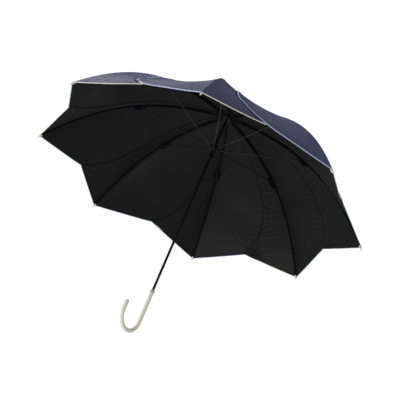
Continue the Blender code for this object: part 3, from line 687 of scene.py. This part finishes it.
def plain_cloth(name, dark, light, sheen, specular):
    """Plain matt cloth for the painted-shade strips, the seam line, covers and the strap."""
    shader = Shader(name)
    coords = shader.coords("UV")
    warp = shader.wave(coords, scale=420.0, distortion=0.4, direction="DIAGONAL")
    tone = shader.noise(coords, scale=90.0, detail=3.0, rough=0.6)
    base = shader.mix(shader.scaled(warp, by=0.3), shader.blend(tone, (0.3, dark), (0.7, light)),
                      tinted(light, factor=1.7))
    creases = shader.noise(coords, scale=260.0, detail=3.0, rough=0.6)
    bump = shader.bump(creases, distance=0.0005, strength=0.6)
    bump = shader.bump(warp, distance=0.00016, strength=0.7, normal=bump)
    return shader.finish(Base_Color=base, Roughness=0.78, Normal=bump, Sheen_Weight=sheen,
                         Sheen_Roughness=0.5, Specular_IOR_Level=specular)


NAVY = outer_cloth()
BLACK = inner_cloth()
BLUE = tape("piping_blue", light=srgb(186, 204, 244), dark=srgb(168, 188, 234))
CREAM = tape("piping_cream", light=srgb(250, 246, 236), dark=srgb(241, 236, 224))
HANDLE = moulded("handle_ivory", dark=srgb(238, 230, 216), light=srgb(242, 235, 222),
                 rough=0.45, coat=0.05, depth=0.0000008, specular=0.35, vary=0.02)
CAPS = moulded("tip_ivory", dark=srgb(232, 228, 218), light=srgb(242, 239, 232),
               rough=0.35, coat=0.2)
FERRULE = moulded("ferrule_ivory", dark=srgb(220, 214, 202), light=srgb(232, 226, 215),
                  rough=0.36, coat=0.25, wear=srgb(190, 184, 172))
SHAFT_STEEL = metal("shaft_black", dark=srgb(5, 5, 6), light=srgb(8, 8, 9), rough=0.55,
                    metallic=0.0, specular=0.2)
RIB_STEEL = metal("rib_black", dark=srgb(5, 5, 6), light=srgb(9, 9, 10), rough=0.50,
                  metallic=0.0, wear=srgb(20, 20, 21), specular=0.2)
ROD = moulded("rod_black", dark=srgb(5, 5, 6), light=srgb(8, 8, 9), rough=0.55, grain=3200.0,
              depth=0.000004, specular=0.15)
STRETCHER = metal("stretcher_grey", dark=srgb(38, 39, 42), light=srgb(52, 53, 56), rough=0.32,
                  metallic=0.85, wear=srgb(96, 97, 100))
HUB = moulded("hub_black", dark=srgb(9, 9, 10), light=srgb(15, 15, 16), rough=0.50,
              wear=srgb(28, 28, 30), depth=0.000006, specular=0.25)
WIRE = metal("wire_grey", dark=srgb(110, 110, 114), light=srgb(140, 140, 144), rough=0.30)
PEWTER = metal("collar_pewter", dark=srgb(184, 178, 168), light=srgb(205, 199, 190),
               rough=0.34, metallic=0.55, wear=srgb(214, 208, 198))
SPRING = metal("catch_steel", dark=srgb(120, 122, 128), light=srgb(158, 160, 166), rough=0.26)
# painted shade: black strips along the ribs inside, standing in for the shadow beside each rib
RIB_SHADE_STRIP = plain_cloth("rib_shade_black", dark=srgb(6, 6, 7), light=srgb(10, 10, 11),
                       sheen=0.0, specular=0.05)
# painted shade: the seam cord of ribs 5 to 8 is darker than the cloth, for the shadow line along
# the lapped edge
SEAM_SHADE_LINE = plain_cloth("seam_shade_black", dark=srgb(11, 11, 13), light=srgb(15, 15, 17),
                        sheen=0.0, specular=0.08)
# painted shadow: a dark navy strip beside each flap's edge, standing in for the shadow in the gap
# under it
SEAM_SHADOW_STRIP = plain_cloth("seam_shadow_navy", dark=srgb(20, 21, 32), light=srgb(26, 28, 40),
                        sheen=0.0, specular=0.08)
COVER = plain_cloth("joint_cover_cloth", dark=srgb(7, 8, 14), light=srgb(12, 13, 21),
                    sheen=0.04, specular=0.08)
STRAP = plain_cloth("strap_navy", dark=srgb(55, 59, 82), light=srgb(64, 68, 92),
                    sheen=0.12, specular=0.15)


def fasten(obj, body):
    """Lets a piece ride on a body, with a mesh of its own."""
    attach(obj, body)
    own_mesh(obj)


def two_parts(k, start, end, counts):
    """Name, body and stations of a strip's parts, on each side of the bend."""
    return (("upper", f"rib_{k + 1}", np.linspace(start, BEND, counts[0])),
            ("lower", f"rib_end_{k + 1}", np.linspace(BEND, end, counts[1])))


# -------------------------------------------------------------------- petals
LEVELS = np.concatenate([np.linspace(START, 0.34, 26), np.linspace(0.34, BEND, 27)[1:],
                         np.linspace(BEND, 0.90, 77)[1:]])
BEND_ROW = 51                # the level at the bend
HEM_ROWS = 8                 # rows from the last level to the hem
HEM_TURN = 0.0010            # the cloth reaches a little past the hem line, inside the piping

# columns of a petal, as reaches from its rib (0) to its edge (1)
UNDER_REACHES = np.concatenate([np.linspace(1.0, 0.82, 15), np.linspace(0.82, 0.12, 13)[1:],
                                [0.07, 0.035, 0.012, 0.0]])
FLAP_REACHES = np.concatenate([[0.006, 0.02, 0.04, 0.06, 0.08, 0.10],
                               np.linspace(0.14, 0.78, 14), np.linspace(0.78, 1.0, 25)[1:]])


def grid_normals(points):
    """Upward unit normals of a grid of points."""
    normals = np.cross(np.gradient(points, axis=0), np.gradient(points, axis=1))
    normals /= np.maximum(np.linalg.norm(normals, axis=-1, keepdims=True), 1e-12)
    return normals * np.where(normals[..., 2:3] < 0, -1, 1)


def petal_grid(k):
    """A petal's points, outward vectors, normals, UVs and distances from seam and hem, as
    grids [column, row]. Columns run clockwise, from the covered edge over the rib to the flap."""
    columns = []
    for is_flap, reaches in ((False, UNDER_REACHES), (True, FLAP_REACHES)):
        for reach in reaches:
            last = hem_along(reach) + HEM_TURN / RIB_LENGTH
            hem_part = LEVELS[-1] + (last - LEVELS[-1]) * np.linspace(0, 1, HEM_ROWS + 1)[1:]
            along = np.concatenate([LEVELS, hem_part])
            width = width_at(along)
            if is_flap:
                across = reach * flap_across(along)
                points, outward = gore_points(k, along, across, flap_height(along, reach))
                lateral = across * width
            else:
                across = 1 - reach * (1 - under_across(along))
                points, outward = gore_points(k - 1, along, across)
                lateral = -(1 - across) * width
            uvs = np.stack([lateral, along * RIB_LENGTH], -1)
            seam = (across - under_across(along)) * width
            columns.append((points, outward, uvs, seam, (last - along) * RIB_LENGTH))
    points, outward, uvs, seam, hem = (np.array(layer) for layer in zip(*columns))
    return points, outward, grid_normals(points), uvs, seam, hem


def petal_shell(name, grid, row_range, cut_row):
    """Part of a petal: outer face, inner face, and the edges at its sides and one cut row."""
    points, outward, normals, uvs, seam, hem = (layer[:, row_range] for layer in grid)
    cols, rows = points.shape[:2]
    verts = np.concatenate([(points + outward * CLOTH).reshape(-1, 3), points.reshape(-1, 3)])
    normals = normals.reshape(-1, 3)
    half = cols * rows

    def at(c, r, bottom):
        return bottom * half + c * rows + r

    faces, face_mats = [], []
    for c in range(cols - 1):
        for r in range(rows - 1):
            faces.append((at(c, r, 0), at(c, r + 1, 0), at(c + 1, r + 1, 0), at(c + 1, r, 0)))
            faces.append((at(c, r, 1), at(c + 1, r, 1), at(c + 1, r + 1, 1), at(c, r + 1, 1)))
            face_mats += [0, 1]
    corners = verts[list(faces[0])]
    if np.dot(np.cross(corners[1] - corners[0], corners[2] - corners[0]), normals[0]) < 0:
        faces = flipped(faces)
    rims = [[(c, r) for r in range(rows)] for c in (0, cols - 1)]
    rims.append([(c, cut_row % rows) for c in range(cols)])
    for rim in rims:
        for here, following in zip(rim, rim[1:]):
            faces.append((at(*here, 0), at(*here, 1), at(*following, 1), at(*following, 0)))
            face_mats.append(1)
    uvs = np.tile(uvs.reshape(-1, 2), (2, 1))
    attrs = {"d_seam": np.tile(seam.ravel(), 2), "d_hem": np.tile(hem.ravel(), 2),
             "d_along": uvs[:, 1]}
    return new_object(name, verts, faces, [NAVY, BLACK], face_mats,
                      normals=np.concatenate([normals, -normals]), uvs=uvs, attrs=attrs)


def petal(k):
    grid = petal_grid(k)
    for part, body, row_range, cut_row in (
            ("upper", f"rib_{k + 1}", slice(0, BEND_ROW + 1), 0),
            ("lower", f"rib_end_{k + 1}", slice(BEND_ROW, None), -1)):
        obj = petal_shell(f"petal_{k + 1}_{part}", grid, row_range, cut_row)
        fasten(obj, body)
        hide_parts(f"petal_{k + 1}")


def flap_edge(k, along):
    return gore_points(k, along, flap_across(along), flap_height(along, 1.0))


def outward_near_hem(gore, across):
    """A vector from the crown towards the hem."""
    inner, outer = gore_points(gore, np.array([0.95, 0.97]), np.full(2, across))[0]
    return outer - inner


def piping(k):
    """Blue from the rib's tip to the notch and on up the flap's edge, cream on the hem of the
    petal's covered side."""
    reach = np.linspace(0.0, 1.0, 44)
    hem = hem_along(reach)
    hem_line = gore_points(k, hem, reach * NOTCH_ACROSS, flap_height(hem, reach))
    edge_line = flap_edge(k, np.linspace(NOTCH_ALONG, BEND, 70)[1:])
    points, ups = (np.concatenate(pair) for pair in zip(hem_line, edge_line))
    blue = binding(f"piping_{k + 1}_blue", points, ups, outward_near_hem(k, 0.2), 10, BLUE)
    fasten(blue, f"rib_end_{k + 1}")

    top, at = np.linspace(BEND, START, 60), 5
    points, ups = flap_edge(k, top)
    station = top[at:at + 1]
    sideways = gore_points(k, station, flap_across(station) + 0.05)[0][0] - points[at]
    taper = 0.35 + 0.65 * rise(top, start=START, span=0.16)
    blue_top = binding(f"piping_{k + 1}_blue_top", points, ups, sideways, at, BLUE, scale=taper)
    fasten(blue_top, f"rib_{k + 1}")

    points, ups = gore_points(k - 1, hem, 1 - reach * (1 - NOTCH_ACROSS))
    cream = binding(f"piping_{k + 1}_cream", points, ups, outward_near_hem(k - 1, 0.8), 10,
                    CREAM, leg=0.72)
    fasten(cream, f"rib_end_{k + 1}")


def covered_edge(k):
    """The folded edge of the covered side, a curved line on the inside. On the seams of ribs 5 to
    8 it is darker than the cloth: painted shade for the shadow along the lapped edge.
    """
    for part, body, along in two_parts(k, START, NOTCH_ALONG - 0.004, counts=(60, 80)):
        points, ups = gore_points(k - 1, along, under_across(along), -0.00002)
        # the folded edge is real; its darker material on ribs 5 to 8 is painted shade
        line = sweep(f"seam_{k + 1}_{part}", points, ups, half_width=0.0008,
                     half_height=0.00035, mat=SEAM_SHADE_LINE if k >= 4 else BLACK, steps=8)
        fasten(line, body)


for k in range(RIBS):
    petal(k)
    piping(k)
    covered_edge(k)


# --------------------------------------------------------- painted-shade strips and covers
def ribbon(name, columns, along, low, high, mat):
    """A flat strip on the cloth, from low to high above its inner face. Each column is a gore
    and a place across it."""
    lower, upper = (
        np.stack([gore_points(gore, along, across, lift)[0] for gore, across in columns], 1)
        for lift in (low, high))
    rows, cols = lower.shape[:2]
    verts = np.concatenate([lower.reshape(-1, 3), upper.reshape(-1, 3)])
    faces = double_sheet_faces(rows, cols)
    normal = np.cross(lower[0, 1] - lower[0, 0], lower[1, 0] - lower[0, 0])
    if np.dot(normal, upper[0, 0] - lower[0, 0]) > 0:
        faces = flipped(faces)
    column_pitch = 0.0011
    uvs = [(share * RIB_LENGTH, column_pitch * j) for share in along for j in range(cols)]
    return new_object(name, verts, faces, [mat], uvs=uvs + uvs, sharp=radians(60))


def seam_edge(k):
    """A dark strip under the flap's edge, that shows beside it on the outside: painted shadow for
    the gap between the lifted flap and the petal beneath.
    """
    offsets = (-0.0004, 0.0009, 0.0022, 0.0035, 0.0048)      # clockwise from the edge
    height = 0.0031 if k == 7 else 0.0006
    for part, body, along in two_parts(k, 0.10, NOTCH_ALONG - 0.006, counts=(60, 90)):
        width = width_at(along)
        columns = [(k, flap_across(along) + x / width) for x in offsets]
        stand = rise(along, start=0.60, span=0.12) * (1 - rise(along, start=0.885, span=0.02))
        strip = ribbon(f"seam_edge_{k + 1}_{part}", columns, along, low=CLOTH + 0.00002,
                       high=CLOTH + 0.00022 + stand * height, mat=SEAM_SHADOW_STRIP)
        fasten(strip, body)


def rib_shade_strip(k):
    """A black strip along the rib line on the inside, darker than the cloth: painted shade for
    the shadow the cloth holds beside each rib.
    """
    offsets = (-0.0034, -0.0022, -0.0011, 0.0, 0.0011, 0.0022, 0.0034)   # from the rib
    for part, body, along in two_parts(k, 0.07, 0.985, counts=(60, 60)):
        width = width_at(along)
        columns = [(k, x / width) if x >= 0 else (k - 1, 1 + x / width) for x in offsets]
        strip = ribbon(f"rib_shade_strip_{k + 1}_{part}", columns, along, low=-0.00016, high=0.00008,
                       mat=RIB_SHADE_STRIP)
        fasten(strip, body)


def joint_cover(k):
    """A gathered cloth saddle over the rib joint: over the top and down both sides."""
    half_width, top_depth = 0.0042, 0.0014
    end_depth, swell_depth = 0.0086, 0.0036      # of the sides, and what they gain midway
    inner_width, top_thickness = 0.84, 0.0005    # inner face: share of the width, and gap
    angle = -STEP * k
    stations = np.linspace(-0.0086, 0.0242, 15)  # from the joint, along the rib
    girth = np.linspace(-1, 1, 17)               # from one lower edge over the top to the other
    outer, inner = [], []
    for i, station in enumerate(stations):
        share = JOINT + station / RIB_LENGTH
        radius, height = (float(value) for value in rib_line(share))
        radial, rising = (float(value) for value in slope(share))
        swell = sin(pi * (i / (len(stations) - 1))) ** 0.7
        depth = end_depth + swell_depth * swell
        for q in girth:
            y = half_width * copysign(min(1.0, abs(q) * 3.2) ** 0.75, q) * (0.93 + 0.07 * swell)
            down = top_depth + (depth - top_depth) * rise(abs(q), start=0.22, span=0.78)
            fold = 0.00018 * sin(9 * q + 2.1 * i) + 0.00012 * sin(17 * q - 1.3 * i + k)
            folded = y + copysign(fold * min(1.0, abs(q) * 2), q)
            inner_down = down + top_thickness * (1 - min(1.0, abs(q) * 1.2))
            for face, side, below in ((outer, folded, down),
                                      (inner, y * inner_width, inner_down)):
                x = radius + rising * below
                face.append((x * cos(angle) - side * sin(angle),
                             x * sin(angle) + side * cos(angle), height - radial * below))
    uvs = [(station, q * 0.012) for station in stations for q in girth]
    obj = new_object(f"cover_{k + 1}", outer + inner,
                     double_sheet_faces(len(stations), len(girth)), [COVER], uvs=uvs + uvs,
                     sharp=radians(60))
    fasten(obj, f"rib_{k + 1}")
    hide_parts(f"joint_cover_{k + 1}")


for k in range(RIBS):
    joint_cover(k)
    rib_shade_strip(k)
    seam_edge(k)


# ------------------------------------------------------------ crown rosette
def rosette():
    """A pinked disc of the canopy's cloth, pleated toward the shaft."""
    low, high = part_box("crown_rosette")
    outer_radius, inner_radius = high.x, 0.0035
    pink_depth, pinks = 0.0009, 24
    pleat_height, pleats = 0.000352, 16
    half_thickness = 0.0003
    rings, steps = 12, 96
    middle = []
    for i in range(rings):
        share = i / (rings - 1)
        for j in range(steps):
            angle = 2 * pi * j / steps
            radius = inner_radius + (outer_radius - inner_radius) * share
            if i == rings - 1:
                radius -= pink_depth * (0.5 + 0.5 * cos(pinks * angle))
            z = high.z - 0.0006 - (high.z - low.z - 0.0018) * share * share
            z += pleat_height * cos(pleats * angle + 3 * share) * (1 - share)
            middle.append((radius * cos(angle), radius * sin(angle), z))
    lift = np.array([0, 0, half_thickness])
    verts = np.concatenate([np.array(middle) + lift, np.array(middle) - lift])
    count = rings * steps
    faces = []
    for i in range(rings - 1):
        for j in range(steps):
            k = (j + 1) % steps
            quad = (i * steps + j, (i + 1) * steps + j, (i + 1) * steps + k, i * steps + k)
            faces.append(quad)
            faces.append(tuple(count + index for index in reversed(quad)))
    for i in (0, rings - 1):
        for j in range(steps):
            here, following = i * steps + j, i * steps + (j + 1) % steps
            quad = (here, following, count + following, count + here)
            faces.append(quad if i == 0 else tuple(reversed(quad)))
    x, y = verts[:, 0], verts[:, 1]
    attrs = {"d_seam": np.full(len(verts), 0.05),        # beyond the seam's gathers
             "d_hem": outer_radius - np.hypot(x, y) + 0.001,
             "d_along": np.arctan2(y, x) * outer_radius}
    obj = new_object("rosette", verts, faces, [NAVY], uvs=verts[:, :2], attrs=attrs,
                     sharp=radians(60))
    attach(obj, "stick")
    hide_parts("crown_rosette")


rosette()

# ---------------------------------------------------------------- tie strap
STRAP_HALF_WIDTH = 0.0068
STRAP_ROUND_START, STRAP_ROUND = 0.905, 0.0215   # where its rounded end starts, and its length
STITCH_INSET = 0.0009
SNAP_STATION = 24
# the snap's section, from its middle outwards and down: (radius, height)
SNAP_SECTION = [(0.0001, 0.0012), (0.0014, 0.0011), (0.0026, 0.0008), (0.0030, 0.0004),
                (0.0030, 0.0), (0.0001, 0.0)]


def strap_snap(centre, up, body, steps=20):
    sideways = np.cross(up, (0, 0, 1.0))
    sideways /= np.linalg.norm(sideways)
    forward = np.cross(up, sideways)
    verts = []
    for radius, height in SNAP_SECTION:
        for j in range(steps):
            angle = 2 * pi * j / steps
            verts.append(centre + up * (0.0004 + height) + sideways * radius * cos(angle)
                         + forward * radius * sin(angle))
    snap = new_object("strap_snap", verts, tube_faces(len(SNAP_SECTION), steps), [PEWTER],
                      sharp=radians(50))
    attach(snap, body)


def tie_strap(k):
    """A stitched strap of the canopy's cloth along the rib, with a snap near its outer end."""
    angle, body = -STEP * k, f"rib_end_{k + 1}"
    along = np.linspace(0.665, 0.925, 30)
    radius, z = rib_line(along)
    radial, rising = slope(along)
    lift = 0.00135 + 0.0004 * np.sin(np.linspace(0, pi * 3, len(along))) ** 2
    radius, z = radius - rising * lift, z + radial * lift
    centres = np.stack([radius * cos(angle), radius * sin(angle), z], -1)
    ups = np.stack([-rising * cos(angle), -rising * sin(angle), radial], -1)
    rounding = np.clip(1 - ((along - STRAP_ROUND_START) / STRAP_ROUND) ** 2, 0.02, 1)
    half = STRAP_HALF_WIDTH * np.where(along > STRAP_ROUND_START, np.sqrt(rounding), 1.0)
    strap = sweep("strap", centres, ups, half, half_height=0.0005, mat=STRAP, steps=12,
                  power=0.45)
    fasten(strap, body)
    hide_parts("tie_strap")

    tangents = np.gradient(centres, axis=0)
    tangents /= np.linalg.norm(tangents, axis=1, keepdims=True)
    sideways = np.cross(tangents, ups)
    sewn = slice(2, -3)
    for name, side in (("left", -1), ("right", 1)):
        inset = (side * (half - STITCH_INSET))[:, None]
        edge = (centres + sideways * inset + ups * 0.00045)[sewn]
        stitch = sweep(f"strap_stitch_{name}", edge, ups[sewn], half_width=0.00025,
                       half_height=0.00018, mat=SHAFT_STEEL, steps=6)
        fasten(stitch, body)
    strap_snap(centres[SNAP_STATION], ups[SNAP_STATION], body)


tie_strap(2)

# ------------------------------------------------- materials on the CAD nodes
FINISH = {"shaft": SHAFT_STEEL, "crown_notch": HUB, "crown_wire": WIRE, "ferrule": FERRULE,
          "handle": HANDLE, "handle_collar": PEWTER, "runner": HUB, "runner_wire": WIRE,
          "top_catch": SPRING, "bottom_catch": SPRING}
for k in range(1, RIBS + 1):
    FINISH[f"rib_inner_{k}"] = RIB_STEEL
    FINISH[f"rib_outer_{k}"] = ROD
    FINISH[f"stretcher_{k}"] = STRETCHER
    FINISH[f"tip_cap_{k}"] = CAPS


def finish_node(node, mat):
    """Gives a CAD piece its material, and shading that breaks only at its sharp edges."""
    if not node.material_slots:
        node.data.materials.append(mat)
    for slot in node.material_slots:
        slot.material = mat
    for flag in ("custom_normal", "sharp_edge", "sharp_face"):
        if flag in node.data.attributes:
            node.data.attributes.remove(node.data.attributes[flag])
    weld = node.modifiers.new("weld", "WELD")
    weld.merge_threshold = 2e-6
    edges = node.modifiers.new("edges", "EDGE_SPLIT")
    edges.split_angle = radians(33)


for name, mat in FINISH.items():
    finish_node(NODES[name], mat)


# -------------------------------------------------------------------- stage
def soft_white_world(light_strength, seen_strength):
    """White surroundings, brighter to the camera than the light they give."""
    world = bpy.data.worlds.new("soft_white")
    world.use_nodes = True
    tree = world.node_tree
    light = tree.nodes["Background"]
    seen = tree.nodes.new("ShaderNodeBackground")
    for node, strength in ((light, light_strength), (seen, seen_strength)):
        node.inputs["Color"].default_value = (1, 1, 1, 1)
        node.inputs["Strength"].default_value = strength
    path = tree.nodes.new("ShaderNodeLightPath")
    mix = tree.nodes.new("ShaderNodeMixShader")
    tree.links.new(path.outputs["Is Camera Ray"], mix.inputs[0])
    tree.links.new(light.outputs[0], mix.inputs[1])
    tree.links.new(seen.outputs[0], mix.inputs[2])
    tree.links.new(mix.outputs[0], tree.nodes["World Output"].inputs[0])
    SCENE.world = world


def pale_floor():
    """Pale matt surface that glows a little to the camera only."""
    shader = Shader("floor_pale")
    tone = shader.noise(shader.coords("Object"), scale=3.0, detail=3.0, rough=0.5)
    camera_ray = shader.add("ShaderNodeLightPath").outputs["Is Camera Ray"]
    glow = shader.scaled(camera_ray, by=0.42)
    base = shader.blend(tone, (0.3, srgb(238, 238, 237)), (0.7, srgb(244, 244, 243)))
    return shader.finish(Base_Color=base, Roughness=0.8, Emission_Color=(1, 1, 1, 1),
                         Emission_Strength=glow)


def floor(height, half_size=14.0, steps=8):
    ticks = [-half_size + 2 * half_size * i / steps for i in range(steps + 1)]
    verts = [(x, y, height) for x in ticks for y in ticks]
    faces = []
    for i in range(steps):
        for j in range(steps):
            a = i * (steps + 1) + j
            faces.append((a, a + steps + 1, a + steps + 2, a + 1))
    new_object("floor", verts, faces, [pale_floor()], smooth=False)


# the camera's right, down and forward directions, as rows
VIEW = np.array([[-0.64047904, 0.68188076, 0.35330614],
                 [-0.55391433, -0.09151063, -0.82752928],
                 [-0.53194503, -0.7257165, 0.43631417]])
# the middle of the hem seen from the camera, along those directions, in canopy radii
HEM_FROM_CAMERA = np.array([-0.0222, -0.0579, 5.0351])
EYE = -VIEW.T @ HEM_FROM_CAMERA * CANOPY_RADIUS + np.array([0, 0, HEM_Z])
FLOOR_BELOW_EYE = 1.15
LENS, SENSOR = 78.0327, 36.0     # millimetres


def add_camera():
    camera = bpy.data.objects.new("camera", bpy.data.cameras.new("camera"))
    SCENE.collection.objects.link(camera)
    rotation = VIEW.T @ np.diag([1.0, -1.0, -1.0])
    camera.matrix_world = Matrix.Translation(Vector(EYE)) @ Matrix(rotation.tolist()).to_4x4()
    camera.data.lens = LENS
    camera.data.sensor_width = SENSOR
    SCENE.camera = camera


LIGHT_TARGET = Vector((0, 0, HINGE_Z - 0.16))
# name, direction from the target (camera's up, right, ahead), distance, diameter, watts
LIGHTS = [("back", (0.60, -0.35, 0.72), 2.8, 1.2, 47),
          ("key", (0.72, -0.62, 0.10), 2.8, 1.2, 8),
          ("left", (-0.16, -0.84, -0.52), 2.6, 0.7, 17),
          ("front", (0.0, -0.3, -0.95), 2.6, 0.9, 8)]


def area_light(name, direction, distance, diameter, power):
    """A round light, unseen by the camera, that faces the target."""
    up, right, ahead = direction
    offset = -Vector(VIEW[1]) * up + Vector(VIEW[0]) * right + Vector(VIEW[2]) * ahead
    position = LIGHT_TARGET + offset * distance
    data = bpy.data.lights.new(name, "AREA")
    data.shape = "DISK"
    data.size = diameter
    data.energy = power
    obj = bpy.data.objects.new(name, data)
    SCENE.collection.objects.link(obj)
    obj.location = position
    obj.rotation_mode = "QUATERNION"
    obj.rotation_quaternion = (LIGHT_TARGET - position).to_track_quat("-Z", "Y")
    obj.visible_camera = False


soft_white_world(light_strength=0.48, seen_strength=1.05)
SCENE.view_settings.view_transform = "Standard"
SCENE.view_settings.look = "None"
floor(float(EYE[2]) - FLOOR_BELOW_EYE)
add_camera()
for light in LIGHTS:
    area_light(*light)
